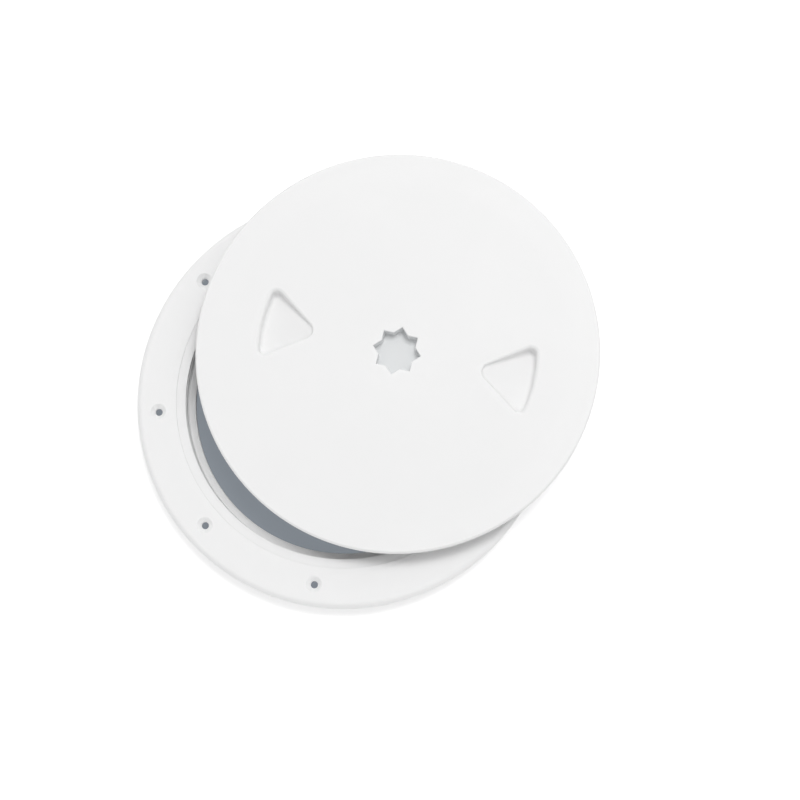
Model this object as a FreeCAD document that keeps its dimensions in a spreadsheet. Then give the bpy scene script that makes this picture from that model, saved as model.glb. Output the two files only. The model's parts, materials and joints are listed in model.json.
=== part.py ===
import FreeCAD, Part
import Sketcher

import math
import os
import re

# Deck inspection plate: a mounting ring for the deck, a screw-out lid laid on it, and the lid's sealing ring.
# Millimetres and degrees. The origin is the centre of the flange's underside, where it meets the deck.
# Z points up out of the deck.

DRIVING_SIZES = {
    # Mounting ring
    "flange_radius": 130,
    "flange_thickness": 5,
    "flange_bevel": 2.4,
    "flange_shoulder": 3.5,
    "bore_radius": 99.5,
    "seat_width": 5.8,
    "seat_step": 0.5,
    "seat_drop": 1.2,
    "lip_width": 4,
    "lip_drop": 0.4,
    "ledge_depth": 15,
    "ledge_width": 4.5,
    "ledge_thickness": 3,
    "collar_wall": 3.3,
    # Coarse screw thread
    "thread_pitch": 7,
    "thread_depth": 2.2,
    "thread_mouth": 3,
    "thread_floor": 1.6,
    "thread_play": 0.5,
    "thread_lift": 2,
    "thread_turn": 22.3,
    # Deck screws, in like groups round the flange: one wide step, then two narrow ones
    "screw_groups": 2,
    "screw_wide_step": 44,
    "screw_narrow_step": 38.7,
    "screw_share": 0.35,
    "ring_turn": 140,
    "screw_radius": 2.25,
    "screw_head_radius": 5,
    "screw_head_angle": 90,
    # Lid
    "lid_radius": 124.5,
    "lid_thickness": 4.5,
    "lid_plate": 3,
    "lid_bevel": 1.1,
    "lid_rim_wall": 3.5,
    "lid_gap": 0.3,
    "skirt_play": 0.7,
    "skirt_wall": 3,
    "skirt_end_play": 0.8,
    # Seal and its groove
    "groove_width": 6,
    "groove_depth": 1.8,
    "groove_wall": 2.7,
    "seal_play": 0.15,
    "seal_squeeze": 0.5,
    # Key socket
    "star_radius": 15,
    "star_depth": 10,
    "star_wall": 3,
    # Finger recesses
    "finger_inner": 53.6,
    "finger_outer": 85.5,
    "finger_half_angle": 34,
    "finger_nose": 5,
    "finger_corner": 3.5,
    "finger_depth": 11,
    "finger_shallow": 2.4,
    "finger_wall": 2.5,
    "finger_floor_bevel": 1,
    "mouth_bevel": 0.5,
    # Ribs under the lid
    "rib_count": 8,
    "rib_thickness": 2,
    "rib_height": 6,
    # Where the lid lies on the ring
    "lid_shift_x": 33.3,
    "lid_shift_y": 26.8,
    "lid_turn": -13,
}

# Sizes that follow from the driving ones
DERIVED_SIZES = {
    "seat_radius": "bore_radius + seat_width",
    "lip_radius": "seat_radius + lip_width",
    "screw_circle": "lip_radius + screw_share * (flange_radius - lip_radius)",
    "seat_top": "flange_thickness - lip_drop - seat_step",
    "seat_bottom": "seat_top - seat_drop",
    "seat_slope": "seat_drop / seat_width",
    "ledge_top": "flange_thickness - ledge_depth",
    "ledge_radius": "bore_radius - ledge_width",
    "collar_bottom": "ledge_top - ledge_thickness",
    "thread_root": "bore_radius + thread_depth",
    "collar_radius": "thread_root + collar_wall",
    "skirt_radius": "bore_radius - skirt_play",
    "skirt_depth": "ledge_depth + lid_gap - skirt_end_play",
    "lid_top": "skirt_depth + lid_thickness",
    "plate_bottom": "lid_top - lid_plate",
    "plate_middle": "lid_top - lid_plate / 2",
    "groove_outer": "skirt_radius + groove_width",
    "groove_top": "skirt_depth + groove_depth",
    "seal_inner": "skirt_radius + seal_play",
    "seal_outer": "groove_outer - seal_play",
    "seal_top": "groove_top - seal_play",
    "closed_drop": "flange_thickness + lid_gap - skirt_depth",
    "seal_foot": "seat_bottom - (bore_radius - seal_inner) * seat_slope - closed_drop - seal_squeeze",
    "hub_radius": "star_radius + star_wall",
    "hub_bottom": "lid_top - star_depth - star_wall",
    "finger_tip": "finger_inner + finger_nose * (1 - 1 / sin(finger_half_angle))",
    "finger_slope": "(finger_depth - finger_shallow) / (finger_outer - finger_inner)",
}

SHEET = "Sizes"


def make_sheet(doc):
    """Put every size on the sheet, each under its own name."""
    sheet = doc.addObject("Spreadsheet::Sheet", SHEET)
    cells = {name: str(number) for name, number in DRIVING_SIZES.items()}
    cells.update({name: "=" + rule for name, rule in DERIVED_SIZES.items()})
    for row, (name, content) in enumerate(cells.items(), start=1):
        sheet.set(f"A{row}", name)
        sheet.set(f"B{row}", content)
        sheet.setAlias(f"B{row}", name)
    doc.recompute()


def formula(rule):
    """Write a rule between named sizes as an expression on the sheet."""
    def on_sheet(match):
        word = match.group()
        known = word in DRIVING_SIZES or word in DERIVED_SIZES
        return f"{SHEET}.{word}" if known else word
    return re.sub(r"[a-z_]+", on_sheet, rule)


def bind(thing, field, rule):
    """Tie one property of an object to the sheet."""
    thing.setExpression(field, formula(rule))


def value(thing, rule):
    """Work out a rule in plain numbers."""
    return float(thing.evalExpression(formula(rule)))


def origin_plane(body, role):
    for feature in body.Origin.OriginFeatures:
        if feature.Role == role:
            return feature
    raise ValueError(f"{body.Name} has no {role}")


def new_sketch(body, name, role="XY_Plane", height=None, turn=None):
    """Add a sketch on one of the body's own planes, raised, or turned about the vertical, when asked."""
    sketch = body.newObject("Sketcher::SketchObject", name)
    sketch.AttachmentSupport = (origin_plane(body, role), [""])
    sketch.MapMode = "FlatFace"
    if height is not None:
        bind(sketch, "AttachmentOffset.Base.z", height)
    if turn is not None:
        vertical = FreeCAD.Vector(0, 0, 1) if role == "XY_Plane" else FreeCAD.Vector(0, 1, 0)
        sketch.AttachmentOffset = FreeCAD.Placement(FreeCAD.Vector(), FreeCAD.Rotation(vertical, 0))
        bind(sketch, "AttachmentOffset.Rotation.Angle", turn)
    return sketch


def constrain(sketch, kind, *references, rule=None):
    """Add one constraint, with its number tied to a rule where one is given."""
    if rule is None:
        sketch.addConstraint(Sketcher.Constraint(kind, *references))
        return
    number = value(sketch, rule)
    if kind == "Angle":
        number = math.radians(number)
    index = sketch.addConstraint(Sketcher.Constraint(kind, *references, number))
    bind(sketch, f"Constraints[{index}]", rule)


def pin_point(sketch, curve, end, across, along):
    """Hold one end of a curve, or its centre, at a place given by two rules."""
    constrain(sketch, "DistanceX", -1, 1, curve, end, rule=across)
    constrain(sketch, "DistanceY", -1, 1, curve, end, rule=along)


def draw_outline(sketch, corners):
    """Draw a closed outline of straight edges through corners given as rules."""
    points = [FreeCAD.Vector(value(sketch, across), value(sketch, along), 0) for across, along in corners]
    count = len(points)
    for index in range(count):
        sketch.addGeometry(Part.LineSegment(points[index], points[(index + 1) % count]), False)
    for index in range(count):
        constrain(sketch, "Coincident", index, 2, (index + 1) % count, 1)
    for index, (across, along) in enumerate(corners):
        pin_point(sketch, index, 1, across, along)


def draw_circle(sketch, across, along, radius):
    """Draw a circle whose centre and radius are rules."""
    centre = FreeCAD.Vector(value(sketch, across), value(sketch, along), 0)
    circle = Part.Circle(centre, FreeCAD.Vector(0, 0, 1), value(sketch, radius))
    index = sketch.addGeometry(circle, False)
    pin_point(sketch, index, 3, across, along)
    constrain(sketch, "Radius", index, rule=radius)


def revolve(body, name, sketch):
    """Turn a half section once round the vertical axis."""
    turned = body.newObject("PartDesign::Revolution", name)
    turned.Profile = sketch
    turned.ReferenceAxis = (sketch, ["V_Axis"])
    turned.Angle = 360
    body.Document.recompute()
    return turned


def pad(body, name, sketch, length):
    """Raise a sketch by a length given as a rule."""
    raised = body.newObject("PartDesign::Pad", name)
    raised.Profile = sketch
    bind(raised, "Length", length)
    body.Document.recompute()
    return raised


def wind(body, kind, name, sketch, height):
    """Wind a section up a helix about the vertical axis: SubtractiveHelix cuts and AdditiveHelix adds."""
    helix = body.newObject(f"PartDesign::{kind}", name)
    helix.Profile = sketch
    helix.ReferenceAxis = (sketch, ["V_Axis"])
    helix.Mode = 0
    bind(helix, "Pitch", "thread_pitch")
    bind(helix, "Height", height)
    body.Document.recompute()


def repeat_round(body, name, feature, sketch, angle, count):
    """Repeat a feature about the vertical axis of its horizontal sketch."""
    pattern = body.newObject("PartDesign::PolarPattern", name)
    pattern.Originals = [feature]
    pattern.Axis = (sketch, ["N_Axis"])
    bind(pattern, "Angle", angle)
    bind(pattern, "Occurrences", count)
    body.Tip = pattern
    body.Document.recompute()


def combine(body, name, kind, pieces):
    """Join pieces to a body with Fuse, or take them away with Cut."""
    joined = body.newObject("PartDesign::Boolean", name)
    joined.Type = kind
    joined.addObjects(pieces)
    body.Tip = joined
    body.Document.recompute()
    return joined


def dress_edges(body, kind, name, base, test, size):
    """Put a Fillet or Chamfer on the edges of a feature whose every point passes a test."""
    names = []
    for index, edge in enumerate(base.Shape.Edges, start=1):
        if all(test(point) for point in edge.discretize(5)):
            names.append(f"Edge{index}")
    if not names:
        raise ValueError(f"{name} finds no edge")
    dressed = body.newObject(f"PartDesign::{kind}", name)
    dressed.Base = (base, names)
    bind(dressed, "Radius" if kind == "Fillet" else "Size", size)
    body.Document.recompute()
    return dressed


def close_to(first, second):
    return abs(first - second) < 1e-4


def on_circle(point, radius, height):
    """Whether a point lies on a horizontal circle about the vertical axis."""
    return close_to(math.hypot(point.x, point.y), radius) and close_to(point.z, height)


def place(body, turn, across="0", along="0", height="0"):
    """Turn a body about the vertical and move it, by rules."""
    body.Placement = FreeCAD.Placement(FreeCAD.Vector(), FreeCAD.Rotation(FreeCAD.Vector(0, 0, 1), 0))
    bind(body, "Placement.Base.x", across)
    bind(body, "Placement.Base.y", along)
    bind(body, "Placement.Base.z", height)
    bind(body, "Placement.Rotation.Angle", turn)
    body.Document.recompute()


# Mounting ring

def ring_section(body):
    """Half section of the ring: bevelled flange, lip, seal seat, bore, ledge and collar."""
    sketch = new_sketch(body, "RingSection", "XZ_Plane")
    draw_outline(sketch, [
        ("flange_radius", "0"),
        ("flange_radius", "flange_thickness - flange_bevel"),
        ("flange_radius - flange_bevel", "flange_thickness"),
        ("lip_radius", "flange_thickness"),
        ("seat_radius", "flange_thickness - lip_drop"),
        ("seat_radius", "seat_top"),
        ("bore_radius", "seat_bottom"),
        ("bore_radius", "ledge_top"),
        ("ledge_radius", "ledge_top"),
        ("ledge_radius", "collar_bottom"),
        ("collar_radius", "collar_bottom"),
        ("collar_radius", "0"),
    ])
    return sketch


def screw_holes(body):
    """Countersunk holes for the deck screws, in like groups of four."""
    sketch = new_sketch(body, "ScrewHoleSketch", height="flange_thickness")
    for turn in (
        "0",
        "screw_wide_step",
        "(screw_wide_step + screw_narrow_step)",
        "(screw_wide_step + 2 * screw_narrow_step)",
    ):
        draw_circle(sketch, f"screw_circle * cos({turn})", f"screw_circle * sin({turn})", "screw_radius")
    body.Document.recompute()
    hole = body.newObject("PartDesign::Hole", "ScrewHole")
    hole.Profile = sketch
    body.Document.recompute()
    hole.ThreadType = 0
    hole.HoleCutType = 2
    hole.HoleCutCustomValues = True
    hole.DepthType = 1
    bind(hole, "Diameter", "2 * screw_radius")
    bind(hole, "HoleCutDiameter", "2 * screw_head_radius")
    bind(hole, "HoleCutCountersinkAngle", "screw_head_angle")
    body.Document.recompute()
    repeat_round(body, "ScrewHoles", hole, sketch, "360", "screw_groups")


def thread_groove(body):
    """Helical groove in the bore, from above the ledge to where it runs out through the seal seat."""
    sketch = new_sketch(body, "ThreadGrooveSection", "XZ_Plane", turn="thread_turn")
    start = "ledge_top + thread_lift"
    mouth = "bore_radius - thread_play"
    draw_outline(sketch, [
        (mouth, f"{start} - thread_mouth / 2"),
        ("thread_root", f"{start} - thread_floor / 2"),
        ("thread_root", f"{start} + thread_floor / 2"),
        (mouth, f"{start} + thread_mouth / 2"),
    ])
    wind(body, "SubtractiveHelix", "ThreadGroove", sketch, "ledge_depth - thread_lift + thread_mouth / 2")


def build_mounting_ring(doc):
    """Flange with screw holes, collar through the deck, seal seat and internal thread."""
    body = doc.addObject("PartDesign::Body", "MountingRing")
    blank = revolve(body, "RingBlank", ring_section(body))
    radius = value(body, "flange_radius - flange_bevel")
    height = value(body, "flange_thickness")
    dress_edges(
        body, "Fillet", "FlangeShoulder", blank,
        lambda point: on_circle(point, radius, height),
        "flange_shoulder")
    screw_holes(body)
    thread_groove(body)
    body.Label = "mounting_ring"
    place(body, "ring_turn")
    return body


# Screw-out lid, built with its skirt's lower edge at zero height

def lid_section(body):
    """Half section of the lid: bevelled disc, rim, seal groove and skirt."""
    sketch = new_sketch(body, "LidSection", "XZ_Plane")
    draw_outline(sketch, [
        ("0", "lid_top"),
        ("0", "plate_bottom"),
        ("skirt_radius - skirt_wall", "plate_bottom"),
        ("skirt_radius - skirt_wall", "0"),
        ("skirt_radius", "0"),
        ("skirt_radius", "groove_top"),
        ("groove_outer", "groove_top"),
        ("groove_outer", "skirt_depth"),
        ("groove_outer + groove_wall", "skirt_depth"),
        ("groove_outer + groove_wall", "plate_bottom"),
        ("lid_radius - lid_rim_wall", "plate_bottom"),
        ("lid_radius - lid_rim_wall", "skirt_depth"),
        ("lid_radius", "skirt_depth"),
        ("lid_radius", "lid_top - lid_bevel"),
        ("lid_radius - lid_bevel", "lid_top"),
    ])
    return sketch


def thread_ridge(body):
    """Helical ridge on the skirt, which runs in the bore's groove."""
    sketch = new_sketch(body, "ThreadRidgeSection", "XZ_Plane")
    start = "thread_lift + thread_mouth / 4"
    half_foot = "(thread_mouth - thread_play) / 2"
    half_crest = "(thread_floor - thread_play) / 2"
    draw_outline(sketch, [
        ("skirt_radius - thread_play", f"{start} - {half_foot}"),
        ("thread_root - thread_play", f"{start} - {half_crest}"),
        ("thread_root - thread_play", f"{start} + {half_crest}"),
        ("skirt_radius - thread_play", f"{start} + {half_foot}"),
    ])
    wind(body, "AdditiveHelix", "ThreadRidge", sketch, f"seal_foot - thread_mouth / 2 - ({start})")


def lid_hub(body):
    """Boss under the plate that closes the key socket."""
    sketch = new_sketch(body, "HubSketch", height="hub_bottom")
    draw_circle(sketch, "0", "0", "hub_radius")
    pad(body, "Hub", sketch, "plate_middle - hub_bottom")


def lid_ribs(body):
    """Straight ribs from the hub to the skirt."""
    sketch = new_sketch(body, "RibSketch", height="plate_bottom - rib_height", turn="180 / rib_count")
    outer_end = "skirt_radius - skirt_wall / 2"
    draw_outline(sketch, [
        ("star_radius", "-rib_thickness / 2"),
        (outer_end, "-rib_thickness / 2"),
        (outer_end, "rib_thickness / 2"),
        ("star_radius", "rib_thickness / 2"),
    ])
    rib = pad(body, "Rib", sketch, "rib_height + lid_plate / 2")
    repeat_round(body, "Ribs", rib, sketch, "360", "rib_count")


def star_socket(body):
    """Key socket of two square pockets, one turned by half a right angle from the other."""
    sketch = new_sketch(body, "StarSketch", height="lid_top")
    draw_outline(sketch, [
        ("star_radius", "0"),
        ("0", "star_radius"),
        ("-star_radius", "0"),
        ("0", "-star_radius"),
    ])
    pocket = body.newObject("PartDesign::Pocket", "StarPocket")
    pocket.Profile = sketch
    bind(pocket, "Length", "star_depth")
    body.Document.recompute()
    repeat_round(body, "StarSocket", pocket, sketch, "45", "2")


def finger_plan(body, name, wall):
    """Plan of a finger recess: tip towards the hub, outer side an arc about the lid's centre."""
    sketch = new_sketch(body, name)
    tip_rule = f"finger_tip - {wall} / sin(finger_half_angle)"
    reach_rule = f"finger_outer + {wall}"
    tip = FreeCAD.Vector(value(sketch, tip_rule), 0, 0)
    reach = value(sketch, reach_rule)
    # The solver moves the far corners to where the sides meet the arc
    spread = math.radians(value(sketch, "finger_half_angle")) / 2
    left = FreeCAD.Vector(reach * math.cos(spread), reach * math.sin(spread), 0)
    right = FreeCAD.Vector(left.x, -left.y, 0)
    sketch.addGeometry(Part.LineSegment(tip, left), False)
    sketch.addGeometry(Part.Arc(right, FreeCAD.Vector(reach, 0, 0), left), False)
    sketch.addGeometry(Part.LineSegment(right, tip), False)
    constrain(sketch, "Coincident", 0, 1, 2, 2)
    constrain(sketch, "Coincident", 0, 2, 1, 2)
    constrain(sketch, "Coincident", 2, 1, 1, 1)
    constrain(sketch, "Coincident", 1, 3, -1, 1)
    constrain(sketch, "Equal", 0, 2)
    pin_point(sketch, 0, 1, tip_rule, "0")
    constrain(sketch, "Radius", 1, rule=reach_rule)
    constrain(sketch, "Angle", 0, rule="finger_half_angle")
    return sketch


def finger_solid(doc, name, wall, top):
    """Solid that fills a finger recess, or its cup with a wall, on a floor that falls to the rim."""
    body = doc.addObject("PartDesign::Body", name)
    plan = finger_plan(body, f"{name}Plan", wall)
    column = pad(body, f"{name}Column", plan, top)
    tip = plan.Geometry[0].StartPoint
    corner = plan.Geometry[0].EndPoint
    nose = dress_edges(
        body, "Fillet", f"{name}Nose", column,
        lambda point: close_to(point.x, tip.x) and close_to(point.y, tip.y),
        f"finger_nose + {wall}")
    dress_edges(
        body, "Fillet", f"{name}Corners", nose,
        lambda point: close_to(point.x, corner.x) and close_to(abs(point.y), corner.y),
        f"finger_corner + {wall}")

    side = new_sketch(body, f"{name}Side", "XZ_Plane")
    floor_at_hub = f"lid_top - finger_shallow - {wall} + finger_slope * finger_inner"
    draw_outline(side, [
        ("0", "-lid_top"),
        ("lid_radius", "-lid_top"),
        ("lid_radius", f"{floor_at_hub} - finger_slope * lid_radius"),
        ("0", floor_at_hub),
    ])
    below = body.newObject("PartDesign::Pocket", f"{name}Below")
    below.Profile = side
    below.Type = "ThroughAll"
    below.SideType = "Symmetric"
    doc.recompute()
    return body


def bevel_floor(body):
    """Bevel the edge where the sloping floor of a finger recess meets its walls."""
    start = value(body, "lid_top - finger_shallow + finger_slope * finger_inner")
    slope = value(body, "finger_slope")
    dress_edges(
        body, "Chamfer", f"{body.Name}FloorBevel", body.Tip,
        lambda point: close_to(point.z, start - slope * point.x),
        "finger_floor_bevel")


def with_twin(doc, piece):
    """The piece and its mirror image on the other side of the hub."""
    twin = doc.addObject("Part::Mirroring", f"{piece.Name}Twin")
    twin.Source = piece
    twin.Base = FreeCAD.Vector(0, 0, 0)
    twin.Normal = FreeCAD.Vector(1, 0, 0)
    doc.recompute()
    return [piece, twin]


def build_screw_lid(doc):
    """Disc and threaded skirt with a key socket and two finger recesses, laid on the flange's face."""
    cup = finger_solid(doc, "FingerCup", "finger_wall", "plate_middle")
    hollow = finger_solid(doc, "FingerHollow", "0", "lid_top + lid_plate")
    bevel_floor(hollow)

    body = doc.addObject("PartDesign::Body", "ScrewLid")
    revolve(body, "LidDisc", lid_section(body))
    combine(body, "WithFingerCups", "Fuse", with_twin(doc, cup))
    lid_hub(body)
    lid_ribs(body)
    star_socket(body)
    opened = combine(body, "FingerRecesses", "Cut", with_twin(doc, hollow))
    top = value(body, "lid_top")
    limit = value(body, "groove_outer")
    dress_edges(
        body, "Chamfer", "MouthBevel", opened,
        lambda point: close_to(point.z, top) and math.hypot(point.x, point.y) < limit,
        "mouth_bevel")
    thread_ridge(body)
    body.Label = "screw_lid"
    place(body, "lid_turn", "lid_shift_x", "lid_shift_y", "flange_thickness")
    return body


# Sealing ring

def build_sealing_ring(doc):
    """Rubber ring in the lid's groove, with an underside that slopes as the seal seat does."""
    body = doc.addObject("PartDesign::Body", "SealingRing")
    sketch = new_sketch(body, "SealSection", "XZ_Plane")
    draw_outline(sketch, [
        ("seal_inner", "seal_foot"),
        ("seal_outer", "seal_foot + (seal_outer - seal_inner) * seat_slope"),
        ("seal_outer", "seal_top"),
        ("seal_inner", "seal_top"),
    ])
    revolve(body, "SealBlank", sketch)
    body.Label = "sealing_ring"
    place(body, "lid_turn", "lid_shift_x", "lid_shift_y", "flange_thickness")
    return body


def check(doc, pieces):
    """Stop if anything failed to build."""
    for thing in doc.Objects:
        if "Invalid" in thing.State or "Error" in thing.State:
            raise RuntimeError(f"{thing.Name} failed: {thing.State}")
    for piece in pieces:
        shape = piece.Shape
        if shape.isNull() or not shape.isValid() or len(shape.Solids) != 1:
            raise RuntimeError(f"{piece.Label} isn't one valid solid")


def main():
    doc = FreeCAD.newDocument("DeckInspectionPlate")
    make_sheet(doc)
    pieces = [build_mounting_ring(doc), build_screw_lid(doc), build_sealing_ring(doc)]
    doc.recompute()
    check(doc, pieces)
    os.makedirs("parts", exist_ok=True)
    for piece in pieces:
        piece.Shape.exportStep(f"parts/{piece.Label}.step")
        volume = piece.Shape.Volume / 1000
        print(f"{piece.Label}: {volume:.1f} cubic centimetres, {len(piece.Shape.Faces)} faces")


main()
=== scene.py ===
import json
from math import asin, cos, pi, radians, sin

import bmesh
import bpy
from bpy.props import FloatProperty, FloatVectorProperty, IntProperty, PointerProperty
from mathutils import Matrix, Vector


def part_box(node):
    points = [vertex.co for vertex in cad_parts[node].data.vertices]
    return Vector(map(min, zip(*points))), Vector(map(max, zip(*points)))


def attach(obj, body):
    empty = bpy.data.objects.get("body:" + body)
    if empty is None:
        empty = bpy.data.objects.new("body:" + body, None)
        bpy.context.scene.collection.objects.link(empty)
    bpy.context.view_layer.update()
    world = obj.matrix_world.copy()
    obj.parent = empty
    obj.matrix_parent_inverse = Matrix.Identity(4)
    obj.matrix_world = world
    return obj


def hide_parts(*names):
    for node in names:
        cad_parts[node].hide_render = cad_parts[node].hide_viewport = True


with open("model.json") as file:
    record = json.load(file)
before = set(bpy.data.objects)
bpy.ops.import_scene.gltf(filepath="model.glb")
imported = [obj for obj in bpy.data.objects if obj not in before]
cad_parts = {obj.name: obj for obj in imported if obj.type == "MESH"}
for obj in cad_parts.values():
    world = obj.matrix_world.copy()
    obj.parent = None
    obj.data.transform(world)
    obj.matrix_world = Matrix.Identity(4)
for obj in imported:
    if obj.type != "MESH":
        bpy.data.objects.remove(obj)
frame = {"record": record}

bl_info = {
    "name": "Deck Inspection Plate",
    "version": (1, 0, 0),
    "blender": (4, 5, 0),
    "location": "3D View > Sidebar > Deck Plate",
    "description": "Builds a screw-out deck plate: mounting ring, lid laid loose on it, and the lid's seal",
    "category": "Add Mesh",
}

MM = 0.001
BODY = "root"

# Places and sizes that the frame gives, in metres
MOUNTS = {mount["name"]: mount for mount in frame["record"]["mounts"]}
RING_LOW, RING_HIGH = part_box("mounting_ring")
LID_LOW, LID_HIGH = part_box("screw_lid")
FLANGE_RADIUS = (RING_HIGH.x - RING_LOW.x) / 2
FLANGE_TOP = RING_HIGH.z
COLLAR_BOTTOM = RING_LOW.z
COLLAR_RADIUS = MOUNTS["deck_cutout"]["dims"]["r_mm"] * MM
SCREW_CIRCLE = MOUNTS["deck_screws"]["dims"]["pcd_mm"] / 2 * MM
SCREW_RADIUS = MOUNTS["deck_screws"]["dims"]["hole_r_mm"] * MM
LID_RADIUS = (LID_HIGH.x - LID_LOW.x) / 2
LID_TOP = LID_HIGH.z - LID_LOW.z
LID_PLACE = Vector(((LID_LOW.x + LID_HIGH.x) / 2, (LID_LOW.y + LID_HIGH.y) / 2, LID_LOW.z))

# How finely curves are divided
TURN_SEGMENTS = 240
SCREW_SEGMENTS = 48
ARC_STEPS = 12
ROUND_STEPS = 3

# Edges with a smaller angle are shaded smooth
SMOOTH_BELOW = radians(35)
# Points closer than this are one point
MERGE_DISTANCE = 0.0005 * MM
# Cutters run past the faces that they open by this much
OVERSHOOT = 2 * MM
# Cutters flare this far above a face, so that no two faces lie in one plane
FLARE_LIFT = 0.01 * MM
# A hollow's round takes up at most this share of its depth
ROUND_SHARE = 0.45
# The round at a hollow's mouth turns this far from the wall, which stops it just short of the flat face
MOUTH_TURN = radians(80)

# How the moulded faces are finished. The shade is what is left of the colour where it is darkest.
WHITE_PLASTIC = {
    "shade": 0.98, "roughness": 0.5, "grain_size": 0.8 * MM, "grain_depth": 0.02 * MM, "inner_light": 0.7}
BLACK_RUBBER = {
    "shade": 0.8, "roughness": 0.7, "grain_size": 0.4 * MM, "grain_depth": 0.05 * MM, "inner_light": 0.0}
# Size of the slow changes in tone, and how far the roughness strays either way with them
CLOUD_SIZE = 60 * MM
ROUGHNESS_SPREAD = 0.05
# Strength of the grain's relief, and of the gloss
GRAIN_STRENGTH = 0.2
GLOSS_LEVEL = 0.3
# Light spreads this far in the white plastic
INNER_REACH = 1.5 * MM
# The painted shade in the key socket grows over this depth, and may lie this far past the star's points
SOCKET_SHADE_FADE = 1.5 * MM
SOCKET_SHADE_MARGIN = 2 * MM
FLOOR_ROUGHNESS = 0.8

# Width of the camera's film, in millimetres
FILM_WIDTH = 36


# Properties

def length(name, description, millimetres):
    """A size, given in millimetres and kept in metres."""
    return FloatProperty(
        name=name, description=description, default=millimetres * MM, unit="LENGTH", precision=4)


def position(name, description, *millimetres):
    """A place, given in millimetres and kept in metres."""
    return FloatVectorProperty(
        name=name, description=description, default=[part * MM for part in millimetres],
        subtype="TRANSLATION")


def angle(name, description, degrees):
    """An angle, given in degrees and kept in radians."""
    return FloatProperty(name=name, description=description, default=radians(degrees), subtype="ANGLE")


def number_of(name, description, number):
    """How many there are of a thing."""
    return IntProperty(name=name, description=description, default=number, min=1)


def colour(name, description, red, green, blue):
    """A colour that isn't see-through."""
    return FloatVectorProperty(
        name=name, description=description, default=(red, green, blue, 1), size=4, min=0, max=1,
        subtype="COLOR")


class DECKPLATE_PG_ring(bpy.types.PropertyGroup):
    """Sizes of the mounting ring."""
    flange_bevel: length("Flange bevel", "Bevel at the flange's outer edge", 2.4)
    flange_shoulder: length("Flange shoulder", "Round between the flange's face and its bevel", 3.5)
    bore_radius: length("Bore radius", "Radius of the threaded bore", 99.5)
    seat_width: length("Seat width", "Width of the sloping seal seat", 5.8)
    seat_step: length("Seat step", "Step from the lip down to the seat", 0.5)
    seat_drop: length("Seat drop", "How far the seat falls towards the bore", 1.2)
    lip_width: length("Lip width", "Width of the lip round the seat", 4)
    lip_drop: length("Lip drop", "How far the lip falls towards the seat", 0.4)
    lip_round: length("Lip round", "Round where the lip leaves the flange's face", 20)
    ledge_depth: length("Ledge depth", "Depth of the ledge below the flange's face", 15)
    ledge_width: length("Ledge width", "How far the ledge reaches in from the bore", 4.5)
    head_radius: length("Countersink radius", "Radius of a screw's countersink", 5)
    head_round: length("Countersink round", "Round at the mouth of a countersink", 0.5)
    screw_groups: number_of("Screw groups", "Number of like groups of four screw holes", 2)
    wide_step: angle("Wide step", "Turn between the first two holes of a group", 44)
    narrow_step: angle("Narrow step", "Turn between the other holes of a group", 38.7)
    ring_turn: angle("Ring turn", "Turn of the ring with its first group of holes", 140)
    thread_turn: angle("Thread turn", "Turn of the thread's start from the first hole", 22.3)
    edge_round: length("Edge round", "Round on the ring's moulded edges", 0.3)


class DECKPLATE_PG_thread(bpy.types.PropertyGroup):
    """Sizes that the ring's groove and the lid's ridge share."""
    pitch: length("Pitch", "Rise in one turn", 7)
    depth: length("Depth", "Depth of the groove in the bore", 2.2)
    mouth: length("Mouth", "Height of the groove at the bore", 3)
    floor: length("Floor", "Height of the groove at its floor", 1.6)
    play: length("Play", "Gap between ridge and groove", 0.5)
    lift: length("Lift", "Height of the thread's start above the ledge", 2)


class DECKPLATE_PG_lid(bpy.types.PropertyGroup):
    """Sizes of the screw-out lid."""
    skirt_depth: length("Skirt depth", "Length of the skirt below the rim", 14.5)
    plate: length("Plate thickness", "Thickness of the plate inside the rim", 3)
    bevel: length("Bevel", "Bevel at the lid's upper edge", 1.1)
    bevel_round: length("Bevel round", "Round on both edges of the bevel", 0.8)
    rim_wall: length("Rim wall", "Width of the rim", 3.5)
    skirt_radius: length("Skirt radius", "Outer radius of the skirt, without its thread", 98.8)
    skirt_wall: length("Skirt wall", "Thickness of the skirt", 3)
    groove_width: length("Seal groove width", "Width of the groove for the seal", 6)
    groove_depth: length("Seal groove depth", "Depth of the groove for the seal", 1.8)
    groove_wall: length("Seal groove wall", "Wall outside the groove for the seal", 2.7)
    closed_gap: length("Closed gap", "Gap between the closed lid's rim and the flange", 0.3)
    turn: angle("Lid turn", "Turn of the lid on the ring", -13)
    star_radius: length("Star radius", "Radius of the key socket's points", 15)
    star_depth: length("Star depth", "Depth of the key socket", 10)
    star_wall: length("Star wall", "Wall round and under the key socket", 3)
    finger_count: number_of("Finger recesses", "Number of finger recesses", 2)
    finger_inner: length("Recess nose", "From the lid's centre to a finger recess's nose", 53.6)
    finger_outer: length("Recess far side", "From the lid's centre to a finger recess's far side", 85.5)
    finger_half_angle: angle("Recess half angle", "Half the angle between a finger recess's sides", 34)
    nose_round: length("Nose round", "Round at a finger recess's nose", 5)
    corner_round: length("Corner round", "Round at a finger recess's far corners", 3.5)
    finger_depth: length("Recess depth", "Depth of a finger recess at its far side", 11)
    finger_shallow: length("Recess start", "Depth of a finger recess at its nose", 2.4)
    finger_wall: length("Recess wall", "Wall round and under a finger recess", 2.5)
    floor_round: length("Floor round", "Round between a finger recess's floor and walls", 3.2)
    mouth_round: length("Mouth round", "Round at the mouths of the finger recesses", 2.6)
    socket_round: length("Socket round", "Round at the key socket's mouth and floor", 0.5)
    rib_count: number_of("Ribs", "Number of ribs under the plate", 8)
    rib_thickness: length("Rib thickness", "Thickness of a rib", 2)
    rib_height: length("Rib height", "Height of a rib", 6)
    edge_round: length("Edge round", "Round on the lid's moulded edges", 0.3)


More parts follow.
